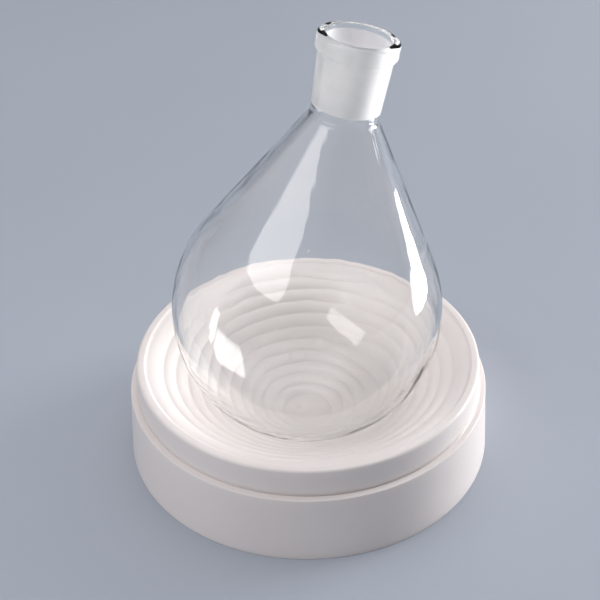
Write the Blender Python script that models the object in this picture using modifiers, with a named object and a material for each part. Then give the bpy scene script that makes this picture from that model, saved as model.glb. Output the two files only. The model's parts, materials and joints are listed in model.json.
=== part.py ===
"""A round bottom flask with a ground socket, leaning in its stepped flask stand.

The stand is one hollow moulding: a foot band, a stacking ledge, an upper band and a dish of
rounded steps. The flask is a thin glass bulb whose shoulder runs straight into a short neck,
and a standard-taper ground socket with a beaded rim is fused onto that neck.

Lengths are in metres, angles in degrees, +Z up. The origin is the centre of the stand's
footprint, on the surface that the stand rests on.
"""

import math

import bpy
from mathutils import Matrix, Vector

MM = 0.001

# Stand
FOOT_RADIUS = 91.1 * MM
LEDGE_RADIUS = 89.3 * MM
LEDGE_HEIGHT = 36.2 * MM
UPPER_BAND_FOOT_RADIUS = 86.1 * MM
UPPER_BAND_TOP_RADIUS = 85.4 * MM
STAND_HEIGHT = 51.0 * MM
RIM_INNER_RADIUS = 80.6 * MM
RIM_STEP = 1.0 * MM
STAND_WALL = 3.0 * MM
STAND_EDGE_ROUND = 1.0 * MM

# Steps of the dish: each is a rounded ridge between two creases, and a wider one meets the rim
DISH_FLOOR_RADIUS = 12.4 * MM
DISH_FLOOR_HEIGHT = 10.2 * MM
STEP_COUNT = 10
STEP_RUN = 6.0 * MM
STEP_RISE = 3.6 * MM
STEP_BULGE = 1.1 * MM

# Flask, measured along its own axis from the centre of the bulb
BULB_RADIUS = 65.8 * MM
GLASS_WALL = 2.3 * MM
SHOULDER_SLOPE = 30.7
NECK_RADIUS = 16.1 * MM
NECK_WALL = 2.8 * MM
NECK_BLEND_RADIUS = 7.0 * MM
NECK_END = 104.3 * MM

# Standard-taper socket: 29.2 mm wide at the mouth, 32 mm long, taper 1 in 10
SOCKET_START = 104.6 * MM
SOCKET_END = 140.0 * MM
SOCKET_FOOT_RADIUS = 16.1 * MM
SOCKET_TOP_RADIUS = 17.5 * MM
BORE_MOUTH_RADIUS = 14.6 * MM
BORE_TAPER = 0.05
BEAD_RADIUS = 19.2 * MM
BEAD_LENGTH = 9.0 * MM

# How the flask sits in the dish
SEAT_GAP = 0.3 * MM
LEAN = 12.6
LEAN_HEADING = 34.7

STAND_TURNS = 72
BULB_TURNS = 56
SOCKET_TURNS = 48
MERGE_DISTANCE = 0.00001


def clear_scene():
    """Remove every object that the file opened with."""
    for item in list(bpy.data.objects):
        bpy.data.objects.remove(item, do_unlink=True)


def plain_material(name, colour, roughness, transmission=0.0, ior=1.5):
    """A Principled material with one colour and no metal."""
    material = bpy.data.materials.new(name)
    material.use_nodes = True
    shader = material.node_tree.nodes["Principled BSDF"]
    shader.inputs["Base Color"].default_value = (*colour, 1.0)
    shader.inputs["Roughness"].default_value = roughness
    shader.inputs["Metallic"].default_value = 0.0
    shader.inputs["Transmission Weight"].default_value = transmission
    shader.inputs["IOR"].default_value = ior
    return material


def arc(centre, radius, start, end, count):
    """Points of an arc in the (radius, height) plane, ends included, angles in degrees."""
    points = []
    for index in range(count + 1):
        angle = math.radians(start + (end - start) * index / count)
        points.append((centre[0] + radius * math.cos(angle), centre[1] + radius * math.sin(angle)))
    return points


def rounded_corner(before, corner, after, radius, count):
    """Points of an arc of the given radius that replaces a corner between two straight runs."""
    corner = Vector(corner)
    towards_before = (Vector(before) - corner).normalized()
    towards_after = (Vector(after) - corner).normalized()
    half_angle = towards_before.angle(towards_after) / 2
    bisector = (towards_before + towards_after).normalized()
    centre = corner + bisector * (radius / math.sin(half_angle))
    first = corner + towards_before * (radius / math.tan(half_angle)) - centre
    last = corner + towards_after * (radius / math.tan(half_angle)) - centre
    sweep = first.angle(last)
    points = []
    for index in range(count + 1):
        share = index / count
        spoke = first * math.sin((1 - share) * sweep) + last * math.sin(share * sweep)
        points.append(tuple(centre + spoke / math.sin(sweep)))
    return points


def ridge(start, end, bulge, count):
    """Points of a shallow arc that bulges to the upper left of the line from start to end."""
    start = Vector(start)
    end = Vector(end)
    chord = end - start
    outward = Vector((-chord.y, chord.x)).normalized()
    points = []
    for index in range(count):
        share = index / count
        points.append(tuple(start + chord * share + outward * bulge * 4 * share * (1 - share)))
    return points


def turned(name, outline, closed, turns, material, collection):
    """Turn an outline of (radius, height) points about Z into one closed solid."""
    mesh = bpy.data.meshes.new(name)
    edges = [(index, index + 1) for index in range(len(outline) - 1)]
    if closed:
        edges.append((len(outline) - 1, 0))
    mesh.from_pydata([(radius, 0.0, height) for radius, height in outline], edges, [])
    mesh.materials.append(material)
    piece = bpy.data.objects.new(name, mesh)
    collection.objects.link(piece)
    screw = piece.modifiers.new("Turn", "SCREW")
    screw.axis = "Z"
    screw.angle = math.tau
    screw.steps = turns
    screw.render_steps = turns
    screw.use_merge_vertices = True
    screw.merge_threshold = MERGE_DISTANCE
    screw.use_smooth_shade = True
    return piece


def dish_top_outline():
    """The dish from its flat floor on the axis, up over its ridges, to the foot of the rim."""
    points = [(0.0, DISH_FLOOR_HEIGHT)]
    for step in range(STEP_COUNT):
        start = (DISH_FLOOR_RADIUS + step * STEP_RUN, DISH_FLOOR_HEIGHT + step * STEP_RISE)
        end = (start[0] + STEP_RUN, start[1] + STEP_RISE)
        points += ridge(start, end, STEP_BULGE, 3)
    last_crease = (DISH_FLOOR_RADIUS + STEP_COUNT * STEP_RUN, DISH_FLOOR_HEIGHT + STEP_COUNT * STEP_RISE)
    rim_foot = (RIM_INNER_RADIUS, STAND_HEIGHT - RIM_STEP)
    points += ridge(last_crease, rim_foot, STEP_BULGE, 3)
    points.append(rim_foot)
    return points


def stand_outside_outline():
    """The rim, upper band, stacking ledge and foot band, from the rim down to the surface."""
    rim_inner_top = (RIM_INNER_RADIUS + RIM_STEP, STAND_HEIGHT)
    rim_corner = (UPPER_BAND_TOP_RADIUS, STAND_HEIGHT)
    ledge_root = (UPPER_BAND_FOOT_RADIUS, LEDGE_HEIGHT)
    ledge_corner = (LEDGE_RADIUS, LEDGE_HEIGHT)
    foot = (FOOT_RADIUS, 0.0)
    points = [rim_inner_top]
    points += rounded_corner(rim_inner_top, rim_corner, ledge_root, 1.8 * STAND_EDGE_ROUND, 3)
    points.append(ledge_root)
    points += rounded_corner(ledge_root, ledge_corner, foot, STAND_EDGE_ROUND, 2)
    points.append(foot)
    return points


def stand_underside_outline():
    """The hollow underside, from the foot's inner edge up and in to the axis."""
    drop = STAND_WALL * math.hypot(1.0, STEP_RISE / STEP_RUN)
    rim_ceiling = STAND_HEIGHT - RIM_STEP - drop
    cone_edge_radius = DISH_FLOOR_RADIUS + STEP_COUNT * STEP_RUN
    cone_edge_height = DISH_FLOOR_HEIGHT + STEP_COUNT * STEP_RISE
    return [
        (FOOT_RADIUS - STAND_WALL, 0.0),
        (LEDGE_RADIUS - STAND_WALL, LEDGE_HEIGHT - STAND_WALL),
        (UPPER_BAND_FOOT_RADIUS - STAND_WALL, LEDGE_HEIGHT - STAND_WALL),
        (UPPER_BAND_TOP_RADIUS - STAND_WALL, rim_ceiling),
        (RIM_INNER_RADIUS, rim_ceiling),
        (cone_edge_radius, cone_edge_height - drop),
        (DISH_FLOOR_RADIUS, DISH_FLOOR_HEIGHT - drop),
        (0.0, DISH_FLOOR_HEIGHT - drop),
    ]


def glass_side(bulb_radius, neck_radius, bulb_points, blend_points):
    """One side of the bulb's glass, from the neck's end down to the bottom on the axis."""
    slope = math.radians(SHOULDER_SLOPE)
    tangent = (bulb_radius * math.cos(slope), bulb_radius * math.sin(slope))
    neck_end = (neck_radius, NECK_END)
    shoulder_top = (neck_radius, tangent[1] + (tangent[0] - neck_radius) / math.tan(slope))
    points = [neck_end]
    points += rounded_corner(neck_end, shoulder_top, tangent, NECK_BLEND_RADIUS, blend_points)
    bulb = arc((0.0, 0.0), bulb_radius, SHOULDER_SLOPE, -90.0, bulb_points)
    bulb[-1] = (0.0, -bulb_radius)
    return points + bulb


def bulb_outline():
    """The bulb's glass: up its inner side, over the neck's end and down its outer side."""
    outer = glass_side(BULB_RADIUS, NECK_RADIUS, 16, 3)
    inner = glass_side(BULB_RADIUS - GLASS_WALL, NECK_RADIUS - NECK_WALL, 14, 3)
    return inner[::-1] + outer


def socket_outline():
    """The socket: down the outside of its bead and tube, and up its tapered bore."""
    bore_foot_radius = BORE_MOUTH_RADIUS - BORE_TAPER * (SOCKET_END - SOCKET_START)
    bead_swell = BEAD_RADIUS - SOCKET_TOP_RADIUS
    lip = 1.2 * MM
    outline = [(BORE_MOUTH_RADIUS + lip, SOCKET_END)]
    outline += [(BEAD_RADIUS - bead_swell / 2, SOCKET_END)]
    outline += [(BEAD_RADIUS, SOCKET_END - lip)]
    outline += [(BEAD_RADIUS, SOCKET_END - BEAD_LENGTH + bead_swell)]
    outline += [(SOCKET_TOP_RADIUS, SOCKET_END - BEAD_LENGTH)]
    outline += [(SOCKET_FOOT_RADIUS, SOCKET_START)]
    outline += [(bore_foot_radius, SOCKET_START)]
    outline += [(BORE_MOUTH_RADIUS, SOCKET_END - lip)]
    return outline


def seat_height():
    """Height of the bulb's centre with the bulb just clear of the ridge that it rests on."""
    highest = 0.0
    for radius, height in dish_top_outline():
        reach = BULB_RADIUS + SEAT_GAP
        if radius < reach:
            highest = max(highest, height + math.sqrt(reach * reach - radius * radius))
    return highest


def place_flask(pieces):
    """Hang the flask's pieces on an empty at the bulb's centre, which is the tilt axis."""
    seat = bpy.data.objects.new("flask_seat", None)
    pieces[0].users_collection[0].objects.link(seat)
    seat.location = (0.0, 0.0, seat_height())
    turn = Matrix.Rotation(math.radians(LEAN_HEADING), 4, "Z")
    lean = Matrix.Rotation(math.radians(LEAN), 4, "Y")
    seat.rotation_euler = (turn @ lean).to_euler()
    for piece in pieces:
        piece.parent = seat


def build():
    """Make the stand, the bulb and the socket in one collection."""
    clear_scene()
    collection = bpy.data.collections.new("round_bottom_flask")
    bpy.context.scene.collection.children.link(collection)
    white_plastic = plain_material("white_plastic", (0.86, 0.84, 0.82), 0.35)
    clear_glass = plain_material("clear_glass", (0.92, 0.96, 0.97), 0.02, 0.95, 1.47)
    ground_glass = plain_material("ground_glass", (0.88, 0.90, 0.90), 0.55, 0.6, 1.47)
    stand_outline = dish_top_outline() + stand_outside_outline() + stand_underside_outline()
    turned("stand", stand_outline, False, STAND_TURNS, white_plastic, collection)
    bulb = turned("flask_bulb", bulb_outline(), False, BULB_TURNS, clear_glass, collection)
    socket = turned("ground_socket", socket_outline(), True, SOCKET_TURNS, ground_glass, collection)
    place_flask([bulb, socket])


build()
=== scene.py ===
"""Looks of the round bottom flask in its stand: blown glass, a ground socket and a moulded stand.

Lengths are in metres, +Z up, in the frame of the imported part. The flask is one fused vessel, so
its glass is one closed mesh, with its inner and outer walls, that stands for both glass nodes.
"""

import json
import math

import bpy
from mathutils import Matrix, Vector, noise

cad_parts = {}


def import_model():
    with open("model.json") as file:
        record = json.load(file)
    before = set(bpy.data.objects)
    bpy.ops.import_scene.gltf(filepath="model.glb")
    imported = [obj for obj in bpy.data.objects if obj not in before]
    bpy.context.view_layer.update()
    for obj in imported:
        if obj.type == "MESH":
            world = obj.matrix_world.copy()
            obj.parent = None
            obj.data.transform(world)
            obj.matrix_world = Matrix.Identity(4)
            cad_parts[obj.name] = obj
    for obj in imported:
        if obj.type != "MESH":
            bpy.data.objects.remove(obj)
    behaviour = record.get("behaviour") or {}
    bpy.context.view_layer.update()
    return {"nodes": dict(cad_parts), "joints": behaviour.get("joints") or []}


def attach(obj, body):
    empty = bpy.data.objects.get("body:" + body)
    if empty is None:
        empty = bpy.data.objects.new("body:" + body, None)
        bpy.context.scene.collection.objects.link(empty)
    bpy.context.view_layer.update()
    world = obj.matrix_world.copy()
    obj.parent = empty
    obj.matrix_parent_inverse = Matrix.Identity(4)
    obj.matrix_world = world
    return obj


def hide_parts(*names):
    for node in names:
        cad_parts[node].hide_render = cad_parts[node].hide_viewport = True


MM = 0.001

# Stand: the part's own sizes, with a groove, creases, roundings and a gate mark added
FOOT_RADIUS = 91.1 * MM
LEDGE_RADIUS = 89.3 * MM
LEDGE_HEIGHT = 36.2 * MM
LEDGE_GROOVE = 0.5 * MM
UPPER_BAND_FOOT_RADIUS = 86.1 * MM
UPPER_BAND_TOP_RADIUS = 85.4 * MM
STAND_HEIGHT = 51.0 * MM
RIM_INNER_RADIUS = 80.6 * MM
RIM_STEP = 1.0 * MM
STAND_WALL = 3.0 * MM
RIM_OUTER_ROUND = 1.4 * MM
RIM_INNER_ROUND = 0.5 * MM
LEDGE_ROUND = 0.3 * MM
FOOT_ROUND = 0.4 * MM
HOLLOW_ROUND = 1.0 * MM
HOLLOW_RIM_ROUND = 0.8 * MM
HOLLOW_MIDDLE_ROUND = 2.0 * MM
DISH_FLOOR_RADIUS = 12.4 * MM
DISH_FLOOR_HEIGHT = 10.2 * MM
STEP_COUNT = 10
STEP_RUN = 6.0 * MM
STEP_RISE = 3.6 * MM
# The part's ridges bulge by 1.1 mm, but their three flat facets reach only 0.98 mm
STEP_BULGE = 0.95 * MM
CREASE_DEPTH = 0.12 * MM
GATE_MARK_PLACE = (-4.1 * MM, 2.6 * MM)
GATE_MARK_RADIUS = 1.5 * MM
GATE_MARK_HEIGHT = 0.8 * MM
SURFACE_TOLERANCE = 0.1 * MM

# Flask, measured along its own axis from the centre of the bulb: the part's own sizes, with the
# bead's roundings and the ground length of the bore added
BULB_RADIUS = 65.8 * MM
GLASS_WALL = 2.3 * MM
SHOULDER_SLOPE = 30.7
NECK_RADIUS = 16.1 * MM
NECK_WALL = 2.8 * MM
NECK_BLEND_RADIUS = 7.0 * MM
SOCKET_START = 104.6 * MM
SOCKET_END = 140.0 * MM
SOCKET_TOP_RADIUS = 17.5 * MM
BORE_MOUTH_RADIUS = 14.6 * MM
BORE_TAPER = 0.05
BEAD_RADIUS = 19.2 * MM
BEAD_LENGTH = 9.0 * MM
BEAD_SWELL = 1.7 * MM
BEAD_TOP_ROUND = 1.7 * MM
BEAD_FOOT_ROUND = 1.6 * MM
BEAD_SIDE_ROUND = 1.2 * MM
MOUTH_ROUND = 1.2 * MM
MOUTH_FLARE = 0.2 * MM
GROUND_START = 105.3 * MM
GROUND_END = 138.0 * MM
GROUND_STEP = 0.5 * MM

# How finely the meshes are cut: steps around a piece, points and steps of its arcs, and the
# longest straight runs along its outline
STAND_TURNS = 240
GLASS_TURNS = 160
RIDGE_POINTS = 14
BULB_POINTS = 90
PLASTIC_CORNER_STEPS = 4
INNER_GLASS_CORNER_STEPS = 10
OUTER_GLASS_CORNER_STEPS = 8
DISH_FLOOR_RUN = 0.4 * MM
PLASTIC_RUN = 3.0 * MM
GLASS_RUN = 1.5 * MM
GROUND_RUN = 1.0 * MM

# An outline point nearer to the axis than this becomes one point of the mesh, not a ring
SMALLEST_RADIUS = 1e-7

# The UV map: once around a piece, and one unit for each tenth of a metre along its axis
WRAP = "around_and_along"
UV_LENGTH = 0.1

# Materials. Nearly all values of a noise texture lie within its spread.
NOISE_SPREAD = (0.3, 0.7)
WHOLE_RANGE = (0.0, 1.0)
PLASTIC_COLOURS = ((0.83, 0.77, 0.75), (0.86, 0.805, 0.79))
PLASTIC_ROUGHNESS = (0.27, 0.33)
PLASTIC_IOR = 1.49
PLASTIC_SCATTER_WEIGHT = 0.15
PLASTIC_SCATTER_RADII = (4.0 * MM, 3.5 * MM, 3.0 * MM)
GLASS_COLOUR = (0.995, 0.995, 0.995)
GLASS_IOR = 1.474
GLASS_HAZE = (0.0, 0.035)
SEEDS_PER_METRE = 90.0
SEED_EDGE = (0.02, 0.06)
GLASS_TINT = (0.72, 0.88, 0.80)
GLASS_TINT_DENSITY = 4.0
GLASS_SHADOW = (0.91, 0.91, 0.91)
GROUND_GLASS_COLOURS = ((0.84, 0.82, 0.83), (0.90, 0.88, 0.89))
GROUND_GLASS_ROUGHNESS = (0.6, 0.85)
GROUND_GLASS_TRANSMISSION = 0.4
GRINDING_RINGS = 70.0
GROUND_GLASS_SHADOW = (0.70, 0.72, 0.72)

# Unevenness of the bulb's blown inner wall
WALL_NOISE_SCALE = 30.0
WALL_NOISE_DEPTH = 0.35 * MM

# Studio floor and soft boxes: places and sizes in metres, powers in watts
FLOOR_SIZE = 20.0
FLOOR_COLOUR = (0.44, 0.48, 0.55)
FLOOR_MOTTLE = 1.02
FLOOR_ROUGHNESS = 0.6
FLOOR_SPECULAR = 0.25
FLASK_MIDDLE = (0.0, 0.0, 0.1)
DISH_MOUTH = (0.0, 0.0, 0.05)
LEFT_BOX_PLACE = (-0.82, -0.55, 1.04)
LEFT_BOX_SIZE = (1.08, 0.30)
LEFT_BOX_POWER = 3.5
RIGHT_BOX_PLACE = (1.13, 0.53, 0.50)
RIGHT_BOX_SIZE = (0.60, 0.60)
RIGHT_BOX_POWER = 6.8
LOW_BOX_PLACE = (0.40, 0.12, 0.05)
LOW_BOX_SIZE = (0.18, 0.08)
LOW_BOX_POWER = 1.35
WARM_WHITE = (1.0, 0.965, 0.94)
NEAR_WHITE = (1.0, 0.99, 0.98)

# Two soft glows of the surroundings, one overhead and one from the front left. Each is strongest
# at its middle and ends at its edge, which is the cosine of the angle between them.
SKY_COLOUR = (0.97, 0.97, 1.0)
SKY_LOW = 0.09
SKY_HIGH = 1.5
SKY_EDGE = 0.65
SKY_TOP = (0.16, 0.26, 0.95)
GLOW_SIDE = (-0.87, -0.48, 0.10)
GLOW_EDGE = 0.3
GLOW_STRENGTH = 0.8

# Camera: place in metres from the middle of the foot, angles in degrees
CAMERA_PLACE = (-3.4 * MM, -585.3 * MM, 521.2 * MM)
CAMERA_TILT = 36.7
CAMERA_ROLL = -1.0
CAMERA_LENS_MM = 90.0
SENSOR_MM = 36.0


# ---------------------------------------------------------------- outlines


def arc(centre, radius, start, end, count):
    """Points of an arc in the (radius, height) plane, ends included, angles in degrees."""
    points = []
    for index in range(count + 1):
        angle = math.radians(start + (end - start) * index / count)
        points.append((centre[0] + radius * math.cos(angle), centre[1] + radius * math.sin(angle)))
    return points


def rounded_corner(before, corner, after, radius, count):
    """Points of an arc of the given radius that replaces a corner between two straight runs."""
    corner = Vector(corner)
    towards_before = (Vector(before) - corner).normalized()
    towards_after = (Vector(after) - corner).normalized()
    half_angle = towards_before.angle(towards_after) / 2
    bisector = (towards_before + towards_after).normalized()
    centre = corner + bisector * (radius / math.sin(half_angle))
    first = corner + towards_before * (radius / math.tan(half_angle)) - centre
    last = corner + towards_after * (radius / math.tan(half_angle)) - centre
    sweep = first.angle(last)
    points = []
    for index in range(count + 1):
        share = index / count
        spoke = first * math.sin((1 - share) * sweep) + last * math.sin(share * sweep)
        points.append(tuple(centre + spoke / math.sin(sweep)))
    return points


def rounded_path(corners, count):
    """A path through (radius, height, rounding) corners, each corner replaced by its own arc."""
    points = [corners[0][:2]]
    for before, corner, after in zip(corners, corners[1:], corners[2:]):
        if corner[2] > 0:
            points += rounded_corner(before[:2], corner[:2], after[:2], corner[2], count)
        else:
            points.append(corner[:2])
    points.append(corners[-1][:2])
    return points


def subdivided(points, longest):
    """The same path with every straight run cut into pieces no longer than longest."""
    finer = [points[0]]
    for start, end in zip(points, points[1:]):
        start = Vector(start)
        end = Vector(end)
        pieces = max(1, math.ceil((end - start).length / longest))
        finer += [tuple(start.lerp(end, (index + 1) / pieces)) for index in range(pieces)]
    return finer


def ridge(start, end, bulge, count):
    """Points of a shallow arc to the upper left of the line from start to end, without its end."""
    start = Vector(start)
    end = Vector(end)
    chord = end - start
    outward = Vector((-chord.y, chord.x)).normalized()
    points = []
    for index in range(count):
        share = index / count
        points.append(tuple(start + chord * share + outward * bulge * 4 * share * (1 - share)))
    return points


# ---------------------------------------------------------------- turned meshes


def turned_mesh(name, outline, turns, slots=None):
    """A closed mesh: the outline, which starts and ends on the axis, turned about Z.

    slots gives the material index of each run between two outline points. The UV map runs
    around the piece and along its axis.
    """
    vertices = []
    rings = []
    for radius, height in outline:
        count = 1 if radius < SMALLEST_RADIUS else turns
        rings.append(range(len(vertices), len(vertices) + count))
        angles = [math.tau * turn / turns for turn in range(count)]
        vertices += [(radius * math.cos(angle), radius * math.sin(angle), height) for angle in angles]
    faces = []
    corner_places = []
    for above, below, start, end in zip(rings, rings[1:], outline, outline[1:]):
        for turn in range(turns):
            here = turn / turns
            after = (turn + 1) / turns
            face = [above[turn % len(above)], below[turn % len(below)]]
            places = [(here, start[1]), (here, end[1])]
            if len(below) > 1:
                face.append(below[(turn + 1) % turns])
                places.append((after, end[1]))
            if len(above) > 1:
                face.append(above[(turn + 1) % turns])
                places.append((after, start[1]))
            faces.append(face)
            corner_places += places
    mesh = bpy.data.meshes.new(name)
    mesh.from_pydata(vertices, [], faces)
    mesh.shade_smooth()
    wrap = mesh.uv_layers.new(name=WRAP)
    uv_values = []
    for around, along in corner_places:
        uv_values += [around, along / UV_LENGTH]
    wrap.data.foreach_set("uv", uv_values)
    if slots:
        mesh.polygons.foreach_set("material_index", [slot for slot in slots for _ in range(turns)])
    piece = bpy.data.objects.new(name, mesh)
    bpy.context.scene.collection.objects.link(piece)
    return piece


def dish_path():
    """The dish's top surface, from the axis up over its ridges, with a fine crease before each."""
    floor = [(0.0, DISH_FLOOR_HEIGHT), (DISH_FLOOR_RADIUS, DISH_FLOOR_HEIGHT)]
    points = subdivided(floor, DISH_FLOOR_RUN)[:-1]
    creases = []
    for step in range(STEP_COUNT + 1):
        creases.append((DISH_FLOOR_RADIUS + step * STEP_RUN, DISH_FLOOR_HEIGHT + step * STEP_RISE))
    ridge_ends = creases[1:] + [(RIM_INNER_RADIUS, STAND_HEIGHT - RIM_STEP)]
    for crease, ridge_end in zip(creases, ridge_ends):
        points.append((crease[0], crease[1] - CREASE_DEPTH))
        points += ridge(crease, ridge_end, STEP_BULGE, RIDGE_POINTS)[1:]
    return points


def stand_path():
    """The whole stand: dish, rim, upper band, stacking ledge, foot band and hollow underside."""
    cone_edge = (DISH_FLOOR_RADIUS + STEP_COUNT * STEP_RUN, DISH_FLOOR_HEIGHT + STEP_COUNT * STEP_RISE)
    drop = STAND_WALL * math.hypot(1.0, STEP_RISE / STEP_RUN)
    rim_foot = STAND_HEIGHT - RIM_STEP
    under_ledge = LEDGE_HEIGHT - STAND_WALL
    outside = [
        (RIM_INNER_RADIUS, rim_foot, 0.0),
        (RIM_INNER_RADIUS + RIM_STEP, STAND_HEIGHT, RIM_INNER_ROUND),
        (UPPER_BAND_TOP_RADIUS, STAND_HEIGHT, RIM_OUTER_ROUND),
        (UPPER_BAND_FOOT_RADIUS, LEDGE_HEIGHT + LEDGE_GROOVE, 0.0),
        (UPPER_BAND_FOOT_RADIUS - LEDGE_GROOVE, LEDGE_HEIGHT, 0.0),
        (LEDGE_RADIUS, LEDGE_HEIGHT, LEDGE_ROUND),
        (FOOT_RADIUS, 0.0, FOOT_ROUND),
        (FOOT_RADIUS - STAND_WALL, 0.0, FOOT_ROUND),
        (LEDGE_RADIUS - STAND_WALL, under_ledge, HOLLOW_ROUND),
        (UPPER_BAND_FOOT_RADIUS - STAND_WALL, under_ledge, HOLLOW_ROUND),
        (UPPER_BAND_TOP_RADIUS - STAND_WALL, rim_foot - drop, HOLLOW_RIM_ROUND),
        (RIM_INNER_RADIUS, rim_foot - drop, HOLLOW_RIM_ROUND),
        (cone_edge[0], cone_edge[1] - drop, HOLLOW_ROUND),
        (DISH_FLOOR_RADIUS, DISH_FLOOR_HEIGHT - drop, HOLLOW_MIDDLE_ROUND),
        (0.0, DISH_FLOOR_HEIGHT - drop, 0.0),
    ]
    return dish_path() + subdivided(rounded_path(outside, PLASTIC_CORNER_STEPS), PLASTIC_RUN)


def shoulder_corner(bulb_radius, neck_radius):
    """Where the shoulder's straight side would meet the neck's, and where it leaves the bulb."""
    slope = math.radians(SHOULDER_SLOPE)
    tangent = (bulb_radius * math.cos(slope), bulb_radius * math.sin(slope))
    top = tangent[1] + (tangent[0] - neck_radius) / math.tan(slope)
    return (neck_radius, top), tangent


def flask_path():
    """The flask's glass: up the inside from the bottom, over the mouth and down the outside.

    Returns the points and, for each run between two of them, 1 on the ground bore and 0 elsewhere.
    """
    inner_radius = BULB_RADIUS - GLASS_WALL
    inner_neck_radius = NECK_RADIUS - NECK_WALL
    inner_corner, inner_tangent = shoulder_corner(inner_radius, inner_neck_radius)
    outer_corner, outer_tangent = shoulder_corner(BULB_RADIUS, NECK_RADIUS)
    ground_foot_radius = BORE_MOUTH_RADIUS - BORE_TAPER * (SOCKET_END - GROUND_START)
    inside = arc((0.0, 0.0), inner_radius, -90.0, SHOULDER_SLOPE, BULB_POINTS)
    inside[0] = (0.0, -inner_radius)
    inside = inside[:-1] + subdivided(rounded_path([
        (*inner_tangent, 0.0),
        (*inner_corner, NECK_BLEND_RADIUS),
        (inner_neck_radius, GROUND_START - GROUND_STEP, 0.0),
        (ground_foot_radius, GROUND_START, 0.0),
    ], INNER_GLASS_CORNER_STEPS), GLASS_RUN)
    bore = subdivided([inside[-1], (BORE_MOUTH_RADIUS, GROUND_END)], GROUND_RUN)[1:]
    bead_foot = SOCKET_END - BEAD_LENGTH
    outside = subdivided(rounded_path([
        (BORE_MOUTH_RADIUS, GROUND_END, 0.0),
        (BORE_MOUTH_RADIUS + MOUTH_FLARE, SOCKET_END, MOUTH_ROUND),
        (BEAD_RADIUS, SOCKET_END, BEAD_TOP_ROUND),
        (BEAD_RADIUS, bead_foot + BEAD_SWELL, BEAD_SIDE_ROUND),
        (SOCKET_TOP_RADIUS, bead_foot, BEAD_FOOT_ROUND),
        (NECK_RADIUS, SOCKET_START, 0.0),
        (*outer_corner, NECK_BLEND_RADIUS),
        (*outer_tangent, 0.0),
    ], OUTER_GLASS_CORNER_STEPS), GLASS_RUN)[1:]
    bulb = arc((0.0, 0.0), BULB_RADIUS, SHOULDER_SLOPE, -90.0, BULB_POINTS)[1:]
    bulb[-1] = (0.0, -BULB_RADIUS)
    points = inside + bore + outside + bulb
    ground = range(len(inside) - 1, len(inside) - 1 + len(bore))
    return points, [1 if index in ground else 0 for index in range(len(points) - 1)]


# ---------------------------------------------------------------- node helpers


def new_material(name):
    """A new material, with its node tree and its Principled shader."""
    material = bpy.data.materials.new(name)
    material.use_nodes = True
    nodes = material.node_tree.nodes
    return material, material.node_tree, nodes["Principled BSDF"]


def add_node(tree, kind, **values):
    """Add a node and set its plain attributes."""
    node = tree.nodes.new(kind)
    for key, value in values.items():
        setattr(node, key, value)
    return node


def noise_node(tree, scale, detail, stretch=(1.0, 1.0, 1.0)):
    """Noise in the object's own coordinates, in cycles per metre."""
    place = add_node(tree, "ShaderNodeTexCoord")
    mapping = add_node(tree, "ShaderNodeMapping")
    mapping.inputs["Scale"].default_value = stretch
    texture = add_node(tree, "ShaderNodeTexNoise")
    texture.inputs["Scale"].default_value = scale
    texture.inputs["Detail"].default_value = detail
    tree.links.new(place.outputs["Object"], mapping.inputs["Vector"])
    tree.links.new(mapping.outputs["Vector"], texture.inputs["Vector"])
    return texture.outputs["Fac"]


def ring_noise(tree, rings):
    """Noise that runs in rings around a turned piece, so many to each unit of its UV map."""
    wrap = add_node(tree, "ShaderNodeUVMap", uv_map=WRAP)
    mapping = add_node(tree, "ShaderNodeMapping")
    mapping.inputs["Scale"].default_value = (1.5, rings, 1.0)
    texture = add_node(tree, "ShaderNodeTexNoise", noise_dimensions="2D")
    texture.inputs["Scale"].default_value = 1.0
    texture.inputs["Detail"].default_value = 3.0
    tree.links.new(wrap.outputs["UV"], mapping.inputs["Vector"])
    tree.links.new(mapping.outputs["Vector"], texture.inputs["Vector"])
    return texture.outputs["Fac"]


def remapped(tree, source, old_range, new_range):
    """Stretch a value from one range to another, held at the ends."""
    node = add_node(tree, "ShaderNodeMapRange", clamp=True)
    node.inputs["From Min"].default_value = old_range[0]
    node.inputs["From Max"].default_value = old_range[1]
    node.inputs["To Min"].default_value = new_range[0]
    node.inputs["To Max"].default_value = new_range[1]
    tree.links.new(source, node.inputs["Value"])
    return node.outputs["Result"]


def colours_between(tree, factor, first, second):
    """A colour that runs from first to second with factor.

    The Mix node has its two colour inputs at 6 and 7, and its colour output at 2.
    """
    node = add_node(tree, "ShaderNodeMix", data_type="RGBA")
    node.inputs[6].default_value = (*first, 1.0)
    node.inputs[7].default_value = (*second, 1.0)
    tree.links.new(factor, node.inputs[0])
    return node.outputs[2]


def bumped(tree, height, strength, distance, onto=None):
    """A bump from a height, laid over an earlier one if there is one."""
    node = add_node(tree, "ShaderNodeBump")
    node.inputs["Strength"].default_value = strength
    node.inputs["Distance"].default_value = distance
    tree.links.new(height, node.inputs["Height"])
    if onto is not None:
        tree.links.new(onto, node.inputs["Normal"])
    return node.outputs["Normal"]


def let_lamps_through(tree, shader, tint):
    """Lamps shine through the glass, dimmed by the tint, so that it casts a light shadow."""
    output = tree.nodes["Material Output"]
    path = add_node(tree, "ShaderNodeLightPath")
    clear = add_node(tree, "ShaderNodeBsdfTransparent")
    clear.inputs["Color"].default_value = (*tint, 1.0)
    mixer = add_node(tree, "ShaderNodeMixShader")
    tree.links.new(path.outputs["Is Shadow Ray"], mixer.inputs[0])
    tree.links.new(shader.outputs["BSDF"], mixer.inputs[1])
    tree.links.new(clear.outputs["BSDF"], mixer.inputs[2])
    tree.links.new(mixer.outputs["Shader"], output.inputs["Surface"])


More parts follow.
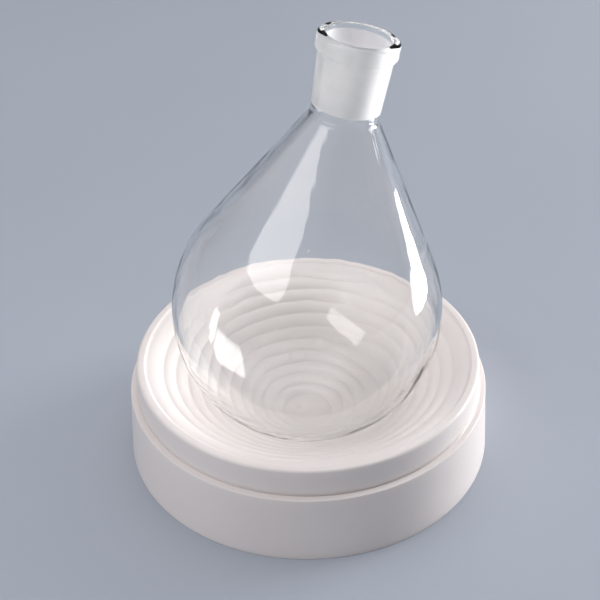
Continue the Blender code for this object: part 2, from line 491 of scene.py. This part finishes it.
def tint_within(tree):
    """The faint green that thick glass shows along its edges."""
    tint = add_node(tree, "ShaderNodeVolumeAbsorption")
    tint.inputs["Color"].default_value = (*GLASS_TINT, 1.0)
    tint.inputs["Density"].default_value = GLASS_TINT_DENSITY
    tree.links.new(tint.outputs["Volume"], tree.nodes["Material Output"].inputs["Volume"])


# ---------------------------------------------------------------- materials


def moulded_plastic():
    """White polypropylene: a warm satin white with a faint moulded grain and handling scuffs."""
    material, tree, shader = new_material("moulded_white_plastic")
    blotches = remapped(tree, noise_node(tree, scale=22.0, detail=3.0), NOISE_SPREAD, WHOLE_RANGE)
    colour = colours_between(tree, blotches, *PLASTIC_COLOURS)
    tree.links.new(colour, shader.inputs["Base Color"])
    scuffs = remapped(tree, noise_node(tree, scale=60.0, detail=2.0), (0.2, 0.8), PLASTIC_ROUGHNESS)
    tree.links.new(scuffs, shader.inputs["Roughness"])
    shader.inputs["IOR"].default_value = PLASTIC_IOR
    shader.inputs["Subsurface Weight"].default_value = PLASTIC_SCATTER_WEIGHT
    shader.inputs["Subsurface Radius"].default_value = PLASTIC_SCATTER_RADII
    shader.inputs["Subsurface Scale"].default_value = 1.0
    swell = noise_node(tree, scale=30.0, detail=1.0)
    swollen = bumped(tree, swell, strength=0.05, distance=0.4 * MM)
    grain = noise_node(tree, scale=900.0, detail=1.0)
    grained = bumped(tree, grain, strength=0.06, distance=0.05 * MM, onto=swollen)
    tree.links.new(grained, shader.inputs["Normal"])
    return material


def clear_glass():
    """Blown borosilicate glass: faintly wavy, with tiny seeds and a trace of handling haze."""
    material, tree, shader = new_material("clear_borosilicate_glass")
    shader.inputs["Base Color"].default_value = (*GLASS_COLOUR, 1.0)
    shader.inputs["Transmission Weight"].default_value = 1.0
    shader.inputs["IOR"].default_value = GLASS_IOR
    haze = remapped(tree, noise_node(tree, scale=30.0, detail=4.0), (0.45, 0.75), GLASS_HAZE)
    tree.links.new(haze, shader.inputs["Roughness"])
    waves = noise_node(tree, scale=28.0, detail=1.5, stretch=(1.0, 1.0, 0.5))
    wavy = bumped(tree, waves, strength=0.22, distance=1.6 * MM)
    ripples = noise_node(tree, scale=75.0, detail=1.0, stretch=(1.0, 1.0, 0.6))
    rippled = bumped(tree, ripples, strength=0.2, distance=1.0 * MM, onto=wavy)
    seeds = add_node(tree, "ShaderNodeTexVoronoi", feature="F1")
    seeds.inputs["Scale"].default_value = SEEDS_PER_METRE
    place = add_node(tree, "ShaderNodeTexCoord")
    tree.links.new(place.outputs["Object"], seeds.inputs["Vector"])
    pits = remapped(tree, seeds.outputs["Distance"], SEED_EDGE, (1.0, 0.0))
    pitted = bumped(tree, pits, strength=0.35, distance=0.2 * MM, onto=rippled)
    tree.links.new(pitted, shader.inputs["Normal"])
    let_lamps_through(tree, shader, GLASS_SHADOW)
    tint_within(tree)
    return material


def ground_glass():
    """The bore's ground surface: frosted white, with fine rings left by the grinding tool."""
    material, tree, shader = new_material("ground_frosted_glass")
    shader.inputs["Transmission Weight"].default_value = GROUND_GLASS_TRANSMISSION
    shader.inputs["IOR"].default_value = GLASS_IOR
    cloud = remapped(tree, noise_node(tree, scale=160.0, detail=4.0), NOISE_SPREAD, WHOLE_RANGE)
    colour = colours_between(tree, cloud, *GROUND_GLASS_COLOURS)
    tree.links.new(colour, shader.inputs["Base Color"])
    rings = ring_noise(tree, GRINDING_RINGS)
    roughness = remapped(tree, rings, NOISE_SPREAD, GROUND_GLASS_ROUGHNESS)
    tree.links.new(roughness, shader.inputs["Roughness"])
    ringed = bumped(tree, rings, strength=0.35, distance=0.2 * MM)
    frost = noise_node(tree, scale=2600.0, detail=2.0)
    frosted = bumped(tree, frost, strength=0.5, distance=0.06 * MM, onto=ringed)
    tree.links.new(frosted, shader.inputs["Normal"])
    let_lamps_through(tree, shader, GROUND_GLASS_SHADOW)
    return material


def floor_material():
    """A plain pale matt floor."""
    material, tree, shader = new_material("pale_floor")
    tone = remapped(tree, noise_node(tree, scale=6.0, detail=2.0), NOISE_SPREAD, WHOLE_RANGE)
    lighter = [part * FLOOR_MOTTLE for part in FLOOR_COLOUR]
    colour = colours_between(tree, tone, FLOOR_COLOUR, lighter)
    tree.links.new(colour, shader.inputs["Base Color"])
    shader.inputs["Roughness"].default_value = FLOOR_ROUGHNESS
    shader.inputs["Specular IOR Level"].default_value = FLOOR_SPECULAR
    return material


# ---------------------------------------------------------------- pieces


def make_stand():
    """The moulded stand, with the small gate mark near the middle of its dish."""
    stand = turned_mesh("flask_stand", stand_path(), STAND_TURNS)
    gate = Vector(GATE_MARK_PLACE)
    for vertex in stand.data.vertices:
        away = (vertex.co.xy - gate).length / GATE_MARK_RADIUS
        on_top = vertex.co.z > DISH_FLOOR_HEIGHT - SURFACE_TOLERANCE
        if away < 1.0 and on_top:
            vertex.co.z += GATE_MARK_HEIGHT * (1.0 - away * away) ** 2
    stand.data.materials.append(moulded_plastic())
    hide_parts("stand")
    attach(stand, "stand")
    return stand


def flask_placement(frame):
    """The matrix that takes the flask from its own axis to where the part holds it."""
    seat = Vector(frame["joints"][0]["pos_m"])
    socket = frame["nodes"]["ground_socket"].data.vertices
    middle = sum((vertex.co for vertex in socket), Vector()) / len(socket)
    lean = (middle - seat).to_track_quat("Z", "Y").to_matrix().to_4x4()
    return Matrix.Translation(seat) @ lean


def make_flask(frame):
    """The blown flask with its ground socket, as one closed mesh with an uneven wall in its bulb."""
    points, slots = flask_path()
    flask = turned_mesh("flask_glass", points, GLASS_TURNS, slots)
    inside_limit = BULB_RADIUS - GLASS_WALL / 2
    for vertex in flask.data.vertices:
        if vertex.co.length > inside_limit:
            continue
        unevenness = noise.noise(vertex.co * WALL_NOISE_SCALE)
        vertex.co += vertex.normal * WALL_NOISE_DEPTH * unevenness
    flask.data.materials.append(clear_glass())
    flask.data.materials.append(ground_glass())
    flask.data.transform(flask_placement(frame))
    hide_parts("flask_bulb", "ground_socket")
    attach(flask, "flask")
    return flask


# ---------------------------------------------------------------- studio


def make_floor():
    """A wide plain floor under the foot."""
    bpy.ops.mesh.primitive_plane_add(size=FLOOR_SIZE, location=(0.0, 0.0, 0.0))
    floor = bpy.context.object
    floor.name = "floor"
    floor.data.materials.append(floor_material())


def soft_box(name, place, target, size, power, colour):
    """A rectangular lamp that faces a point, seen only by its light and in reflections."""
    lamp = bpy.data.lights.new(name, "AREA")
    lamp.shape = "RECTANGLE"
    lamp.size = size[0]
    lamp.size_y = size[1]
    lamp.energy = power
    lamp.color = colour
    holder = bpy.data.objects.new(name, lamp)
    bpy.context.scene.collection.objects.link(holder)
    holder.location = place
    holder.rotation_euler = (Vector(target) - Vector(place)).to_track_quat("-Z", "Y").to_euler()
    holder.visible_camera = False
    return holder


def glow_around(tree, middle, edge, low, high):
    """A glow that is high at its middle and falls to low where the angle's cosine is edge."""
    place = add_node(tree, "ShaderNodeTexCoord")
    towards = add_node(tree, "ShaderNodeVectorMath", operation="DOT_PRODUCT")
    towards.inputs[1].default_value = middle
    tree.links.new(place.outputs["Generated"], towards.inputs[0])
    return remapped(tree, towards.outputs["Value"], (edge, 1.0), (low, high))


def make_lights(pieces):
    """Soft boxes on both sides, a glow overhead and a wide one from the front left.

    The low right box stands close by, so it lights the pieces only and leaves no spot on the floor.
    """
    soft_box("left_box", LEFT_BOX_PLACE, FLASK_MIDDLE, LEFT_BOX_SIZE, LEFT_BOX_POWER, WARM_WHITE)
    soft_box("right_box", RIGHT_BOX_PLACE, FLASK_MIDDLE, RIGHT_BOX_SIZE, RIGHT_BOX_POWER, NEAR_WHITE)
    low_box = soft_box("low_box", LOW_BOX_PLACE, DISH_MOUTH, LOW_BOX_SIZE, LOW_BOX_POWER, NEAR_WHITE)
    lit_pieces = bpy.data.collections.new("lit_by_low_box")
    for piece in pieces:
        lit_pieces.objects.link(piece)
    low_box.light_linking.receiver_collection = lit_pieces
    world = bpy.data.worlds.new("studio")
    world.use_nodes = True
    tree = world.node_tree
    overhead = glow_around(tree, SKY_TOP, SKY_EDGE, SKY_LOW, SKY_HIGH)
    side = glow_around(tree, GLOW_SIDE, GLOW_EDGE, 0.0, GLOW_STRENGTH)
    both = add_node(tree, "ShaderNodeMath", operation="ADD")
    tree.links.new(overhead, both.inputs[0])
    tree.links.new(side, both.inputs[1])
    background = tree.nodes["Background"]
    background.inputs["Color"].default_value = (*SKY_COLOUR, 1.0)
    tree.links.new(both.outputs["Value"], background.inputs["Strength"])
    bpy.context.scene.world = world


def make_camera():
    """A camera at eye height above a bench, looking down at the flask."""
    lens = bpy.data.cameras.new("camera")
    lens.lens = CAMERA_LENS_MM
    lens.sensor_width = SENSOR_MM
    camera = bpy.data.objects.new("camera", lens)
    bpy.context.scene.collection.objects.link(camera)
    camera.location = CAMERA_PLACE
    pitch = Matrix.Rotation(math.radians(90.0 - CAMERA_TILT), 3, "X")
    roll = Matrix.Rotation(math.radians(CAMERA_ROLL), 3, "Z")
    camera.rotation_euler = (pitch @ roll).to_euler()
    bpy.context.scene.camera = camera


def main():
    """Load the frame and build the looks around it."""
    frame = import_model()
    stand = make_stand()
    flask = make_flask(frame)
    make_floor()
    make_lights([stand, flask])
    make_camera()
    bpy.context.scene.view_settings.view_transform = "Standard"
    bpy.context.view_layer.update()


main()
